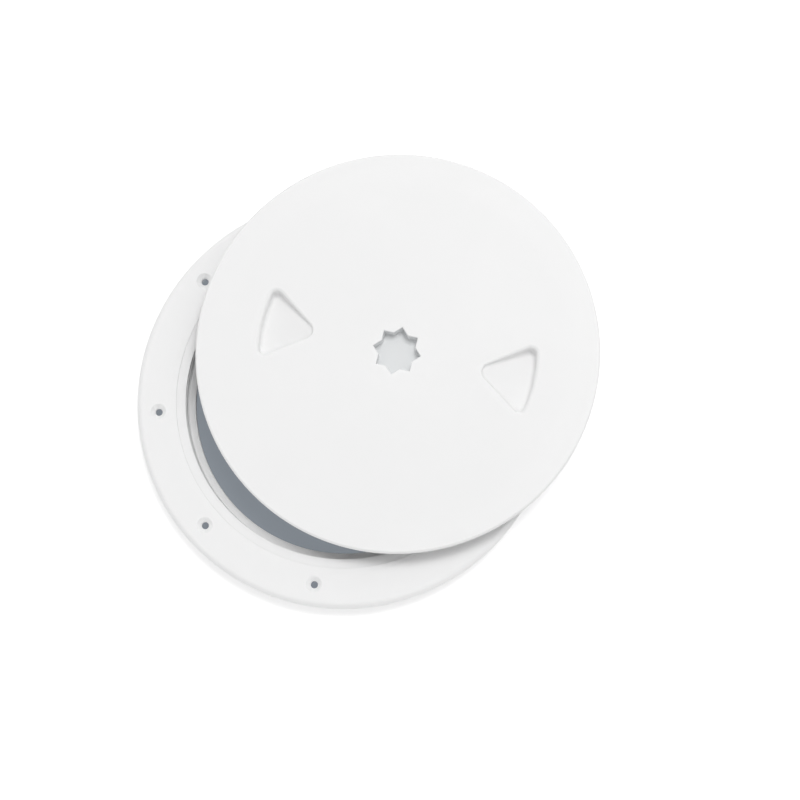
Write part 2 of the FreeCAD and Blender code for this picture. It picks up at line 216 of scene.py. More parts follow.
class DECKPLATE_PG_seal(bpy.types.PropertyGroup):
    """Sizes of the sealing ring."""
    play: length("Play", "Gap between the seal and its groove", 0.15)
    squeeze: length("Squeeze", "How far the closed lid presses the seal into its seat", 0.5)
    edge_round: length("Edge round", "Round on the seal's edges", 0.4)


class DECKPLATE_PG_look(bpy.types.PropertyGroup):
    """Colours of the materials."""
    ring_colour: colour("Ring colour", "Colour of the mounting ring's plastic", 0.94, 0.94, 0.94)
    lid_colour: colour("Lid colour", "Colour of the lid's plastic", 0.905, 0.905, 0.905)
    # Painted shade: a darker colour on the key socket's deep faces, standing in for the shade inside it
    socket_shade_colour: colour("Socket colour", "Colour of the shaded key socket", 0.8, 0.81, 0.815)
    seal_colour: colour("Seal colour", "Colour of the seal's rubber", 0.02, 0.02, 0.022)
    floor_colour: colour("Floor colour", "Colour of the floor", 0.9, 0.9, 0.9)
    # Painted shade: the dark patch of floor under the plate, and the dim grey it shows the camera, stand in
    # for the shade under and inside the plate
    shade_patch_colour: colour("Patch colour", "Colour of the floor under the plate", 0.1, 0.11, 0.12)
    shade_patch_glow: colour("Patch glow", "How the camera sees the floor under the plate", 0.185, 0.205, 0.23)


class DECKPLATE_PG_stage(bpy.types.PropertyGroup):
    """The camera, the floor and the light."""
    lens: FloatProperty(
        name="Lens", description="Focal length of the camera", default=94.2, subtype="DISTANCE_CAMERA")
    camera_place: position("Camera place", "Where the camera stands", 102.4, -203.6, 1285.3)
    camera_aim: position("Camera aim", "What the camera looks at", 34.24, -0.05, 0)
    camera_roll: angle("Camera roll", "Turn of the camera about the way it looks", 0.47)
    floor_width: length("Floor width", "Width of the floor", 12000)
    key_power: FloatProperty(
        name="Key power", description="Power of the main lamp", default=36, unit="POWER")
    key_size: length("Key size", "Width of the main lamp", 900)
    key_distance: length("Key distance", "Distance of the main lamp from the plate", 3000)
    key_tilt: angle("Key tilt", "Angle of the main lamp from the vertical", 17)
    key_turn: angle("Key turn", "Direction of the main lamp in plan", 55)
    world_strength: FloatProperty(
        name="World strength", description="Strength of the light from all round", default=0.6)
    floor_glow: FloatProperty(
        name="Floor glow", description="How much brighter than lit the camera sees the floor", default=0.45)
    shade_patch_radius: length("Patch radius", "Radius of the darker floor under the plate", 121)
    shade_patch_fade: length("Patch fade", "Width over which the darker floor turns pale", 7)


# Node trees

# What every tree that turns or winds a section takes, and what every tree with a thread takes besides
TURNED_SOCKETS = [
    ("Section", "Geometry"), ("Guide Radius", "Float"), ("Segments", "Int"), ("Round Steps", "Int")]
THREAD_SOCKETS = [
    ("Thread Section", "Object"), ("Thread Pitch", "Float"), ("Thread Height", "Float"),
    ("Thread Start", "Float"), ("Thread Turn", "Float")]


def add_node(tree, kind, inputs=None, **settings):
    """Add a node, set its fields, and feed its inputs with plain values or with other nodes' sockets."""
    node = tree.nodes.new(kind)
    for field, setting in settings.items():
        setattr(node, field, setting)
    for name, source in (inputs or {}).items():
        if isinstance(source, bpy.types.NodeSocket):
            tree.links.new(source, node.inputs[name])
        else:
            node.inputs[name].default_value = source
    return node


def new_tree(name, kind, inputs, outputs):
    """Start a node tree with named sockets, and return it with its input and output nodes."""
    tree = bpy.data.node_groups.new(name, kind)
    for direction, sockets in (("INPUT", inputs), ("OUTPUT", outputs)):
        for socket_name, socket_kind in sockets:
            tree.interface.new_socket(socket_name, in_out=direction, socket_type=f"NodeSocket{socket_kind}")
    return tree, tree.nodes.new("NodeGroupInput"), tree.nodes.new("NodeGroupOutput")


def new_shape_tree(name, inputs):
    """Start a Geometry Nodes tree that makes one shape."""
    return new_tree(name, "GeometryNodeTree", inputs, [("Geometry", "Geometry")])


def add_shape(tree, make_group, inputs):
    """Place a shape group, made on its first use, and return its shape's socket."""
    group = bpy.data.node_groups.get(make_group.__name__) or make_group(make_group.__name__)
    return add_node(tree, "GeometryNodeGroup", inputs, node_tree=group).outputs["Geometry"]


def scaled(tree, socket, factor):
    """Multiply a socket's value by a number or by another socket's value."""
    return add_node(tree, "ShaderNodeMath", {0: socket, 1: factor}, operation="MULTIPLY").outputs["Value"]


def mixed(tree, factor, first, second):
    """Mix two colours, or the colours of two sockets."""
    node = add_node(tree, "ShaderNodeMix", {"Factor": factor, "A": first, "B": second}, data_type="RGBA")
    return node.outputs["Result"]


def boolean(tree, operation, first, others):
    """Join several closed shapes to the first one, or take them away from it."""
    node = add_node(tree, "GeometryNodeMeshBoolean", operation=operation, solver="EXACT")
    tree.links.new(first, node.inputs["Mesh 1" if operation == "DIFFERENCE" else "Mesh 2"])
    for other in others:
        tree.links.new(other, node.inputs["Mesh 2"])
    return node.outputs["Mesh"]


def drawn_section(tree, given):
    """The section's outline with its corners rounded, moved so that its origin is on the guide curve."""
    outline = add_node(tree, "GeometryNodeMeshToCurve", {"Mesh": given.outputs["Section"]})
    corner = add_node(tree, "GeometryNodeInputNamedAttribute", {"Name": "round"}, data_type="FLOAT")
    rounded = add_node(
        tree, "GeometryNodeFilletCurve",
        {"Curve": outline.outputs["Curve"], "Radius": corner.outputs["Attribute"], "Limit Radius": True,
         "Count": given.outputs["Round Steps"]},
        mode="POLY")
    offset = add_node(tree, "ShaderNodeCombineXYZ", {"X": scaled(tree, given.outputs["Guide Radius"], -1)})
    moved = add_node(
        tree, "GeometryNodeTransform",
        {"Geometry": rounded.outputs["Curve"], "Translation": offset.outputs["Vector"]})
    # A swept profile's Y points down here
    mirrored = add_node(
        tree, "GeometryNodeTransform", {"Geometry": moved.outputs["Geometry"], "Scale": (1, -1, 1)})
    return mirrored.outputs["Geometry"]


def swept(tree, guide, section):
    """Carry a section along a guide curve with its height kept upright, and close the shape."""
    upright = add_node(tree, "GeometryNodeSetCurveNormal", {"Curve": guide}, mode="Z_UP")
    sweep = add_node(
        tree, "GeometryNodeCurveToMesh",
        {"Curve": upright.outputs["Curve"], "Profile Curve": section, "Fill Caps": True})
    merged = add_node(
        tree, "GeometryNodeMergeByDistance", {"Geometry": sweep.outputs["Mesh"], "Distance": MERGE_DISTANCE})
    return merged.outputs["Geometry"]


def turned_shape(name):
    """Group that turns a half section once about the vertical axis."""
    tree, given, result = new_shape_tree(name, TURNED_SOCKETS)
    guide = add_node(
        tree, "GeometryNodeCurvePrimitiveCircle",
        {"Resolution": given.outputs["Segments"], "Radius": given.outputs["Guide Radius"]}, mode="RADIUS")
    shape = swept(tree, guide.outputs["Curve"], drawn_section(tree, given))
    tree.links.new(shape, result.inputs["Geometry"])
    return tree


def helical_shape(name):
    """Group that winds a section up a right-handed helix about the vertical axis."""
    tree, given, result = new_shape_tree(
        name, [*TURNED_SOCKETS, ("Pitch", "Float"), ("Height", "Float"), ("Turn", "Float")])
    turns = add_node(
        tree, "ShaderNodeMath", {0: given.outputs["Height"], 1: given.outputs["Pitch"]}, operation="DIVIDE")
    guide = add_node(
        tree, "GeometryNodeCurveSpiral",
        {"Resolution": given.outputs["Segments"], "Rotations": turns.outputs["Value"],
         "Start Radius": given.outputs["Guide Radius"], "End Radius": given.outputs["Guide Radius"],
         "Height": given.outputs["Height"], "Reverse": True})
    shape = swept(tree, guide.outputs["Curve"], drawn_section(tree, given))
    rotation = add_node(tree, "ShaderNodeCombineXYZ", {"Z": given.outputs["Turn"]})
    turned = add_node(
        tree, "GeometryNodeTransform", {"Geometry": shape, "Rotation": rotation.outputs["Vector"]})
    tree.links.new(turned.outputs["Geometry"], result.inputs["Geometry"])
    return tree


def round_pattern(name):
    """Group that repeats a shape at even steps about the vertical axis."""
    tree, given, result = new_shape_tree(name, [("Shape", "Geometry"), ("Count", "Int"), ("Turn", "Float")])
    points = add_node(tree, "GeometryNodePoints", {"Count": given.outputs["Count"]})
    index = add_node(tree, "GeometryNodeInputIndex")
    step = add_node(tree, "ShaderNodeMath", {0: 2 * pi, 1: given.outputs["Count"]}, operation="DIVIDE")
    turn = add_node(
        tree, "ShaderNodeMath",
        {0: index.outputs["Index"], 1: step.outputs["Value"], 2: given.outputs["Turn"]},
        operation="MULTIPLY_ADD")
    rotation = add_node(tree, "ShaderNodeCombineXYZ", {"Z": turn.outputs["Value"]})
    copies = add_node(
        tree, "GeometryNodeInstanceOnPoints",
        {"Points": points.outputs["Points"], "Instance": given.outputs["Shape"],
         "Rotation": rotation.outputs["Vector"]})
    real = add_node(tree, "GeometryNodeRealizeInstances", {"Geometry": copies.outputs["Instances"]})
    tree.links.new(real.outputs["Geometry"], result.inputs["Geometry"])
    return tree


def finish_tree(tree, given, result, shape):
    """Weld the shape, shade it smooth with its edges kept crisp, and give it its material."""
    welded = add_node(tree, "GeometryNodeMergeByDistance", {"Geometry": shape, "Distance": MERGE_DISTANCE})
    smooth = add_node(
        tree, "GeometryNodeSetShadeSmooth",
        {"Geometry": welded.outputs["Geometry"], "Shade Smooth": True},
        domain="FACE")
    edge = add_node(tree, "GeometryNodeInputMeshEdgeAngle")
    crisp = add_node(
        tree, "FunctionNodeCompare", {"A": edge.outputs["Unsigned Angle"], "B": SMOOTH_BELOW},
        data_type="FLOAT", operation="GREATER_THAN")
    edged = add_node(
        tree, "GeometryNodeSetShadeSmooth",
        {"Geometry": smooth.outputs["Geometry"], "Selection": crisp.outputs["Result"],
         "Shade Smooth": False},
        domain="EDGE")
    real = add_node(tree, "GeometryNodeRealizeInstances", {"Geometry": edged.outputs["Geometry"]})
    finish = add_node(
        tree, "GeometryNodeSetMaterial",
        {"Geometry": real.outputs["Geometry"], "Material": given.outputs["Material"]})
    tree.links.new(finish.outputs["Geometry"], result.inputs["Geometry"])


def object_shape(tree, socket):
    """The shape of the object that a socket holds."""
    return add_node(tree, "GeometryNodeObjectInfo", {"Object": socket}).outputs["Geometry"]


def add_blank(tree, given):
    """Turn the piece's own section about the vertical axis."""
    return add_shape(tree, turned_shape, {name: given.outputs[name] for name, _ in TURNED_SOCKETS})


def add_thread(tree, given):
    """Wind the thread's section along the guide radius, upwards from the thread's start."""
    thread = add_shape(tree, helical_shape, {
        "Section": object_shape(tree, given.outputs["Thread Section"]),
        "Guide Radius": given.outputs["Guide Radius"], "Segments": given.outputs["Segments"],
        "Round Steps": given.outputs["Round Steps"], "Pitch": given.outputs["Thread Pitch"],
        "Height": given.outputs["Thread Height"], "Turn": given.outputs["Thread Turn"]})
    start = add_node(tree, "ShaderNodeCombineXYZ", {"Z": given.outputs["Thread Start"]})
    raised = add_node(
        tree, "GeometryNodeTransform", {"Geometry": thread, "Translation": start.outputs["Vector"]})
    return raised.outputs["Geometry"]


def ring_tree():
    """Tree of the mounting ring: a turned section with screw holes and a thread groove."""
    tree, given, result = new_shape_tree("Mounting Ring", [
        *TURNED_SOCKETS, *THREAD_SOCKETS, ("Screw Section", "Object"), ("Screw Places", "Object"),
        ("Screw Groups", "Int"), ("Screw Segments", "Int"), ("Material", "Material")])
    hole = add_shape(tree, turned_shape, {
        "Section": object_shape(tree, given.outputs["Screw Section"]), "Guide Radius": SCREW_RADIUS,
        "Segments": given.outputs["Screw Segments"], "Round Steps": given.outputs["Round Steps"]})
    group = add_node(tree, "GeometryNodeInstanceOnPoints", {
        "Points": object_shape(tree, given.outputs["Screw Places"]), "Instance": hole})
    holes = add_shape(tree, round_pattern, {
        "Shape": group.outputs["Instances"], "Count": given.outputs["Screw Groups"]})
    ring = boolean(tree, "DIFFERENCE", add_blank(tree, given), [holes, add_thread(tree, given)])
    finish_tree(tree, given, result, ring)
    return tree


def lid_tree():
    """Tree of the lid: a turned section with cups, ribs and a thread ridge, and with its hollows cut."""
    tree, given, result = new_shape_tree("Screw Lid", [
        *TURNED_SOCKETS, *THREAD_SOCKETS, ("Cup", "Object"), ("Hollow", "Object"), ("Socket", "Object"),
        ("Recess Count", "Int"), ("Rib", "Object"), ("Rib Count", "Int"), ("Rib Turn", "Float"),
        ("Material", "Material")])
    cups, hollows = (
        add_shape(tree, round_pattern, {
            "Shape": object_shape(tree, given.outputs[name]), "Count": given.outputs["Recess Count"]})
        for name in ("Cup", "Hollow"))
    ribs = add_shape(tree, round_pattern, {
        "Shape": object_shape(tree, given.outputs["Rib"]), "Count": given.outputs["Rib Count"],
        "Turn": given.outputs["Rib Turn"]})
    joined = boolean(tree, "UNION", add_blank(tree, given), [cups, ribs, add_thread(tree, given)])
    opened = boolean(tree, "DIFFERENCE", joined, [hollows, object_shape(tree, given.outputs["Socket"])])
    finish_tree(tree, given, result, opened)
    return tree


def seal_tree():
    """Tree of the sealing ring: a turned section."""
    tree, given, result = new_shape_tree("Sealing Ring", [*TURNED_SOCKETS, ("Material", "Material")])
    finish_tree(tree, given, result, add_blank(tree, given))
    return tree


# Meshes and objects

def new_object(name, mesh):
    """Put a mesh in the scene as an object at the origin."""
    piece = bpy.data.objects.new(name, mesh)
    bpy.context.scene.collection.objects.link(piece)
    return piece


def section_object(name, corners, closed=True):
    """Draw an outline through corners of radius, height and round, with the heights along Y."""
    count = len(corners)
    edges = [(index, index + 1) for index in range(count - 1)]
    if closed:
        edges.append((count - 1, 0))
    mesh = bpy.data.meshes.new(name)
    mesh.from_pydata([(radius, height, 0) for radius, height, _ in corners], edges, [])
    rounds = mesh.attributes.new("round", "FLOAT", "POINT")
    rounds.data.foreach_set("value", [corner_round for _, _, corner_round in corners])
    return new_object(name, mesh)


def points_object(name, points):
    """Loose points, on which a tree sets shapes."""
    mesh = bpy.data.meshes.new(name)
    mesh.from_pydata(points, [], [])
    return new_object(name, mesh)


def lofted_object(name, loops):
    """Join loops of points, lowest first, into a closed shape with flat ends."""
    mesh = bpy.data.meshes.new(name)
    shape = bmesh.new()
    rows = [[shape.verts.new(point) for point in loop] for loop in loops]
    count = len(rows[0])
    for lower, upper in zip(rows, rows[1:]):
        for index in range(count):
            after = (index + 1) % count
            shape.faces.new((lower[index], lower[after], upper[after], upper[index]))
    shape.faces.new(list(reversed(rows[0])))
    shape.faces.new(rows[-1])
    shape.to_mesh(mesh)
    shape.free()
    return new_object(name, mesh)


def set_inputs(modifier, values):
    """Set a Geometry Nodes modifier's inputs, found by name and set by identifier."""
    sockets = {
        item.name: item.identifier for item in modifier.node_group.interface.items_tree
        if item.item_type == "SOCKET" and item.in_out == "INPUT"}
    for name, value in values.items():
        modifier[sockets[name]] = value


def finished_piece(carrier, name, tree, values, place, helpers=()):
    """Run a tree on a section's object, and turn the result into a plain mesh in its place."""
    modifier = carrier.modifiers.new("Shape", "NODES")
    modifier.node_group = tree
    set_inputs(modifier, {"Segments": TURN_SEGMENTS, "Round Steps": ROUND_STEPS, **values})
    weights = carrier.modifiers.new("Flat faces stay flat", "WEIGHTED_NORMAL")
    weights.keep_sharp = True
    bpy.context.view_layer.update()
    ready = carrier.evaluated_get(bpy.context.evaluated_depsgraph_get())
    mesh = bpy.data.meshes.new_from_object(ready)
    mesh.name = name
    mesh.transform(place)
    for helper in (carrier, *helpers):
        bpy.data.objects.remove(helper)
    return new_object(name, mesh)


def stand_in(piece, node):
    """Let a finished piece ride on the body and stand for its CAD node."""
    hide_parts(node)
    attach(piece, BODY)


def thread_corners(foot_radius, crest_radius, foot_height, crest_height):
    """Corners of a thread's section, from its wide foot to its narrow crest, or to a groove's floor."""
    return [
        (foot_radius, foot_height / 2, 0),
        (crest_radius, crest_height / 2, 0),
        (crest_radius, -crest_height / 2, 0),
        (foot_radius, -foot_height / 2, 0),
    ]


# Mounting ring

def ring_corners(ring):
    """Half section of the ring, from the collar's foot up the bore and out across the flange."""
    small = ring.edge_round
    lip_radius = ring.bore_radius + ring.seat_width + ring.lip_width
    seat_radius = ring.bore_radius + ring.seat_width
    lip_low = FLANGE_TOP - ring.lip_drop
    seat_top = lip_low - ring.seat_step
    ledge_top = FLANGE_TOP - ring.ledge_depth
    ledge_radius = ring.bore_radius - ring.ledge_width
    return [
        (COLLAR_RADIUS, 0, small),
        (COLLAR_RADIUS, COLLAR_BOTTOM, small),
        (ledge_radius, COLLAR_BOTTOM, small),
        (ledge_radius, ledge_top, small),
        (ring.bore_radius, ledge_top, small),
        (ring.bore_radius, seat_top - ring.seat_drop, small),
        (seat_radius, seat_top, small / 2),
        (seat_radius, lip_low, small / 2),
        (lip_radius, FLANGE_TOP, ring.lip_round),
        (FLANGE_RADIUS - ring.flange_bevel, FLANGE_TOP, ring.flange_shoulder),
        (FLANGE_RADIUS, FLANGE_TOP - ring.flange_bevel, small),
        (FLANGE_RADIUS, 0, small),
    ]


def screw_corners(ring):
    """Half section of what a countersunk screw hole takes away."""
    flare_height = FLANGE_TOP + FLARE_LIFT
    return [
        (0, FLANGE_TOP + OVERSHOOT, 0),
        (ring.head_radius + ring.head_round, FLANGE_TOP + OVERSHOOT, 0),
        (ring.head_radius + ring.head_round, flare_height, 0),
        (ring.head_radius, flare_height, ring.head_round),
        (SCREW_RADIUS, FLANGE_TOP - (ring.head_radius - SCREW_RADIUS), ring.head_round),
        (SCREW_RADIUS, -OVERSHOOT, 0),
        (0, -OVERSHOOT, 0),
    ]


def screw_places(ring):
    """Centres of one group's four screw holes."""
    turns = [0, ring.wide_step, ring.wide_step + ring.narrow_step, ring.wide_step + 2 * ring.narrow_step]
    return [(SCREW_CIRCLE * cos(turn), SCREW_CIRCLE * sin(turn), 0) for turn in turns]


class DECKPLATE_OT_mounting_ring(bpy.types.Operator):
    """Make the mounting ring with its screw holes, seal seat and thread groove"""
    bl_idname = "deckplate.mounting_ring"
    bl_label = "Mounting Ring"

    def execute(self, context):
        ring = context.scene.deckplate_ring
        thread = context.scene.deckplate_thread
        outline = section_object("ring_section", ring_corners(ring))
        screw = section_object("screw_section", screw_corners(ring), closed=False)
        places = points_object("screw_places", screw_places(ring))
        groove = section_object("groove_section", thread_corners(
            ring.bore_radius - thread.play, ring.bore_radius + thread.depth, thread.mouth, thread.floor))
        piece = finished_piece(outline, "ring_moulding", ring_tree(), {
            "Guide Radius": ring.bore_radius,
            "Screw Section": screw,
            "Screw Places": places,
            "Screw Groups": ring.screw_groups,
            "Screw Segments": SCREW_SEGMENTS,
            "Thread Section": groove,
            "Thread Pitch": thread.pitch,
            "Thread Height": ring.ledge_depth - thread.lift + thread.mouth / 2,
            "Thread Start": FLANGE_TOP - ring.ledge_depth + thread.lift,
            "Thread Turn": ring.thread_turn,
            "Material": ring_plastic(context.scene.deckplate_look),
        }, Matrix.Rotation(ring.ring_turn, 4, "Z"), helpers=(screw, places, groove))
        stand_in(piece, "mounting_ring")
        return {"FINISHED"}


# Screw-out lid, drawn with its skirt's lower edge at zero height

def lid_corners(lid):
    """Half section of the lid, from the middle of its face outwards and back along its underside."""
    small = lid.edge_round
    plate_bottom = LID_TOP - lid.plate
    groove_outer = lid.skirt_radius + lid.groove_width
    groove_top = lid.skirt_depth + lid.groove_depth
    rim_inner = LID_RADIUS - lid.rim_wall
    hub_radius = lid.star_radius + lid.star_wall
    hub_bottom = LID_TOP - lid.star_depth - lid.star_wall
    return [
        (0, LID_TOP, 0),
        (LID_RADIUS - lid.bevel, LID_TOP, lid.bevel_round),
        (LID_RADIUS, LID_TOP - lid.bevel, lid.bevel_round),
        (LID_RADIUS, lid.skirt_depth, small),
        (rim_inner, lid.skirt_depth, small),
        (rim_inner, plate_bottom, small),
        (groove_outer + lid.groove_wall, plate_bottom, small),
        (groove_outer + lid.groove_wall, lid.skirt_depth, small),
        (groove_outer, lid.skirt_depth, small),
        (groove_outer, groove_top, small),
        (lid.skirt_radius, groove_top, small),
        (lid.skirt_radius, 0, small),
        (lid.skirt_radius - lid.skirt_wall, 0, small),
        (lid.skirt_radius - lid.skirt_wall, plate_bottom, small),
        (hub_radius, plate_bottom, small),
        (hub_radius, hub_bottom, small),
        (0, hub_bottom, 0),
    ]


def arc(centre_x, centre_y, radius, start, end, steps=ARC_STEPS):
    """Points of an arc in plan, both ends included."""
    turns = (start + (end - start) * step / steps for step in range(steps + 1))
    return [(centre_x + radius * cos(turn), centre_y + radius * sin(turn)) for turn in turns]


def finger_plan(lid, offset):
    """Plan of a finger recess, moved outwards by an offset: far side, corner, nose and the other corner."""
    half = lid.finger_half_angle
    # The two sides would meet here if the nose were sharp
    apex = lid.finger_inner + lid.nose_round * (1 - 1 / sin(half))
    nose_x = lid.finger_inner + lid.nose_round
    corner_reach = lid.finger_outer - lid.corner_round
    corner_turn = half - asin((lid.corner_round + apex * sin(half)) / corner_reach)
    corner_x = corner_reach * cos(corner_turn)
    corner_y = corner_reach * sin(corner_turn)
    side = pi / 2 + half
    corner = lid.corner_round + offset
    return (
        arc(0, 0, lid.finger_outer + offset, -corner_turn, corner_turn, steps=2 * ARC_STEPS)[1:-1]
        + arc(corner_x, corner_y, corner, corner_turn, side)
        + arc(nose_x, 0, lid.nose_round + offset, side, 2 * pi - side)
        + arc(corner_x, -corner_y, corner, 2 * pi - side, 2 * pi - corner_turn)
    )


def star_plan(lid, offset):
    """Plan of the key socket, two squares one turned by half a right angle, moved outwards by an offset."""
    to_side = lid.star_radius * cos(pi / 4) + offset
    tip_and_notch = (to_side / cos(pi / 4), to_side / cos(pi / 8))
    plan = []
    for step in range(16):
        turn = step * pi / 8
        reach = tip_and_notch[step % 2]
        plan.append((reach * cos(turn), reach * sin(turn)))
    return plan


def at_height(plan, height):
    """The points of a plan, all at one height."""
    return [(x, y, height) for x, y in plan]


def recess_depth(lid, x):
    """Depth of a finger recess, whose floor falls away from the lid's centre."""
    slope = (lid.finger_depth - lid.finger_shallow) / (lid.finger_outer - lid.finger_inner)
    return lid.finger_shallow + slope * (x - lid.finger_inner)


def hollow_loops(plan, depth, floor_round, mouth_round):
    """Loops of what a hollow takes away, floor and mouth rounded as far as its depth at a point allows."""
    # Each point of the plan, with how far it moves for each unit that the plan is moved outwards
    starts = [
        (x, y, (outer_x - x) / MM, (outer_y - y) / MM)
        for (x, y), (outer_x, outer_y) in zip(plan(0), plan(MM))]
    loops = []
    for step in range(ROUND_STEPS + 2):
        turn = pi / 2 * step / (ROUND_STEPS + 1)
        loop = []
        for x, y, outward_x, outward_y in starts:
            small = min(floor_round, depth(x) * ROUND_SHARE)
            inward = small * (1 - sin(turn))
            moved_x = x - outward_x * inward
            floor_height = LID_TOP - depth(moved_x)
            loop.append((moved_x, y - outward_y * inward, floor_height + small * (1 - cos(turn))))
        loops.append(loop)
    for step in range(ROUND_STEPS + 2):
        turn = MOUTH_TURN * step / (ROUND_STEPS + 1)
        loop = []
        for x, y, outward_x, outward_y in starts:
            small = min(mouth_round, depth(x) * ROUND_SHARE)
            outward = small * (1 - cos(turn))
            height = LID_TOP - small * (1 - sin(turn))
            loop.append((x + outward_x * outward, y + outward_y * outward, height))
        loops.append(loop)
    loops.append([(x, y, LID_TOP + OVERSHOOT) for x, y, _ in loops[-1]])
    return loops


def finger_loops(lid):
    """Loops of what a finger recess takes away."""
    return hollow_loops(
        lambda offset: finger_plan(lid, offset), lambda x: recess_depth(lid, x),
        lid.floor_round, lid.mouth_round)


def cup_loops(lid):
    """Loops of the cup that closes a finger recess under the plate."""
    plan = finger_plan(lid, lid.finger_wall)
    return [
        [(x, y, LID_TOP - recess_depth(lid, x) - lid.finger_wall) for x, y in plan],
        at_height(plan, LID_TOP - lid.plate / 2),
    ]


def socket_loops(lid):
    """Loops of what the key socket takes away."""
    return hollow_loops(
        lambda offset: star_plan(lid, offset), lambda x: lid.star_depth,
        lid.socket_round, lid.socket_round)


def rib_loops(lid):
    """Loops of one straight rib from the hub to the skirt."""
    inner = lid.star_radius
    outer = lid.skirt_radius - lid.skirt_wall / 2
    half = lid.rib_thickness / 2
    plan = [(inner, -half), (outer, -half), (outer, half), (inner, half)]
    return [
        at_height(plan, LID_TOP - lid.plate - lid.rib_height),
        at_height(plan, LID_TOP - lid.plate / 2),
    ]


def ridge_start(thread):
    """Height at which the ridge begins above the skirt's lower edge."""
    return thread.lift + thread.mouth / 4


def ridge_height(ring, lid, seal, thread):
    """How far the ridge climbs from its start to just under the seal."""
    return seal_foot(ring, lid, seal) - thread.mouth / 2 - ridge_start(thread)


def lid_place(lid):
    """Where the lid lies on the ring, and how it is turned."""
    return Matrix.Translation(LID_PLACE) @ Matrix.Rotation(lid.turn, 4, "Z")


class DECKPLATE_OT_screw_lid(bpy.types.Operator):
    """Make the lid with its finger recesses, key socket, ribs and thread ridge"""
    bl_idname = "deckplate.screw_lid"
    bl_label = "Screw-out Lid"

    def execute(self, context):
        scene = context.scene
        ring = scene.deckplate_ring
        lid = scene.deckplate_lid
        thread = scene.deckplate_thread
        outline = section_object("lid_section", lid_corners(lid), closed=False)
        helpers = {
            "Cup": lofted_object("finger_cup", cup_loops(lid)),
            "Hollow": lofted_object("finger_hollow", finger_loops(lid)),
            "Socket": lofted_object("star_socket", socket_loops(lid)),
            "Rib": lofted_object("rib", rib_loops(lid)),
            "Thread Section": section_object("ridge_section", thread_corners(
                lid.skirt_radius - thread.play, ring.bore_radius + thread.depth - thread.play,
                thread.mouth - thread.play, thread.floor - thread.play)),
        }
        piece = finished_piece(outline, "lid_moulding", lid_tree(), {
            **helpers,
            "Guide Radius": lid.skirt_radius,
            "Recess Count": lid.finger_count,
            "Rib Count": lid.rib_count,
            "Rib Turn": pi / lid.rib_count,
            "Thread Pitch": thread.pitch,
            "Thread Height": ridge_height(ring, lid, scene.deckplate_seal, thread),
            "Thread Start": ridge_start(thread),
            "Material": lid_plastic(scene.deckplate_look, lid),
        }, lid_place(lid), helpers=helpers.values())
        stand_in(piece, "screw_lid")
        return {"FINISHED"}


# Sealing ring, drawn as the lid is

def seat_slope(ring):
    """How far the seat falls for each unit towards the bore."""
    return ring.seat_drop / ring.seat_width


def seal_foot(ring, lid, seal):
    """Height of the seal's inner lower edge, pressed a little below the seat when the lid is closed."""
    seat_bottom = FLANGE_TOP - ring.lip_drop - ring.seat_step - ring.seat_drop
    inward = ring.bore_radius - lid.skirt_radius - seal.play
    closed_drop = FLANGE_TOP + lid.closed_gap - lid.skirt_depth
    return seat_bottom - inward * seat_slope(ring) - closed_drop - seal.squeeze


def seal_corners(ring, lid, seal):
    """Section of the seal, with an underside that slopes as its seat does."""
    small = seal.edge_round
    inner = lid.skirt_radius + seal.play
    outer = lid.skirt_radius + lid.groove_width - seal.play
    top = lid.skirt_depth + lid.groove_depth - seal.play
    foot = seal_foot(ring, lid, seal)
    return [
        (inner, top, small),
        (outer, top, small),
        (outer, foot + (outer - inner) * seat_slope(ring), small),
        (inner, foot, small),
    ]


class DECKPLATE_OT_sealing_ring(bpy.types.Operator):
    """Make the rubber ring in the lid's groove"""
    bl_idname = "deckplate.sealing_ring"
    bl_label = "Sealing Ring"

    def execute(self, context):
        scene = context.scene
        lid = scene.deckplate_lid
        corners = seal_corners(scene.deckplate_ring, lid, scene.deckplate_seal)
        piece = finished_piece(section_object("seal_section", corners), "seal_moulding", seal_tree(), {
            "Guide Radius": lid.skirt_radius,
            "Material": seal_rubber(scene.deckplate_look),
        }, lid_place(lid))
        stand_in(piece, "sealing_ring")
        return {"FINISHED"}


# Materials

def moulded_grain():
    """Group of a moulded face's fine grain, and of the slow changes in its tone."""
    found = bpy.data.node_groups.get("Moulded Grain")
    if found:
        return found
    tree, given, result = new_tree(
        "Moulded Grain", "ShaderNodeTree",
        [("Grain Size", "Float"), ("Cloud Size", "Float")], [("Height", "Float"), ("Cloud", "Float")])
    place = add_node(tree, "ShaderNodeTexCoord").outputs["Object"]
    for size, output, detail in (("Grain Size", "Height", 2.0), ("Cloud Size", "Cloud", 3.0)):
        scale = add_node(tree, "ShaderNodeMath", {0: 1.0, 1: given.outputs[size]}, operation="DIVIDE")
        noise = add_node(tree, "ShaderNodeTexNoise", {
            "Vector": place, "Scale": scale.outputs["Value"], "Detail": detail})
        tree.links.new(noise.outputs["Fac"], result.inputs[output])
    return tree


def socket_shade_mask(tree, lid):
    """Mask of the painted shade, which grows from the lid's face down into the key socket."""
    place = add_node(tree, "ShaderNodeTexCoord").outputs["Object"]
    height = add_node(tree, "ShaderNodeSeparateXYZ", {"Vector": place}).outputs["Z"]
    depth = add_node(tree, "ShaderNodeMapRange", {
        "Value": height, "From Min": LID_HIGH.z, "From Max": LID_HIGH.z - SOCKET_SHADE_FADE}).outputs["Result"]
    in_plan = add_node(tree, "ShaderNodeVectorMath", {0: place, 1: (1, 1, 0)}, operation="MULTIPLY")
    reach = add_node(
        tree, "ShaderNodeVectorMath", {0: in_plan.outputs["Vector"], 1: (LID_PLACE.x, LID_PLACE.y, 0)},
        operation="DISTANCE")
    near = add_node(
        tree, "ShaderNodeMath", {0: reach.outputs["Value"], 1: lid.star_radius + SOCKET_SHADE_MARGIN},
        operation="LESS_THAN")
    return scaled(tree, depth, near.outputs["Value"])


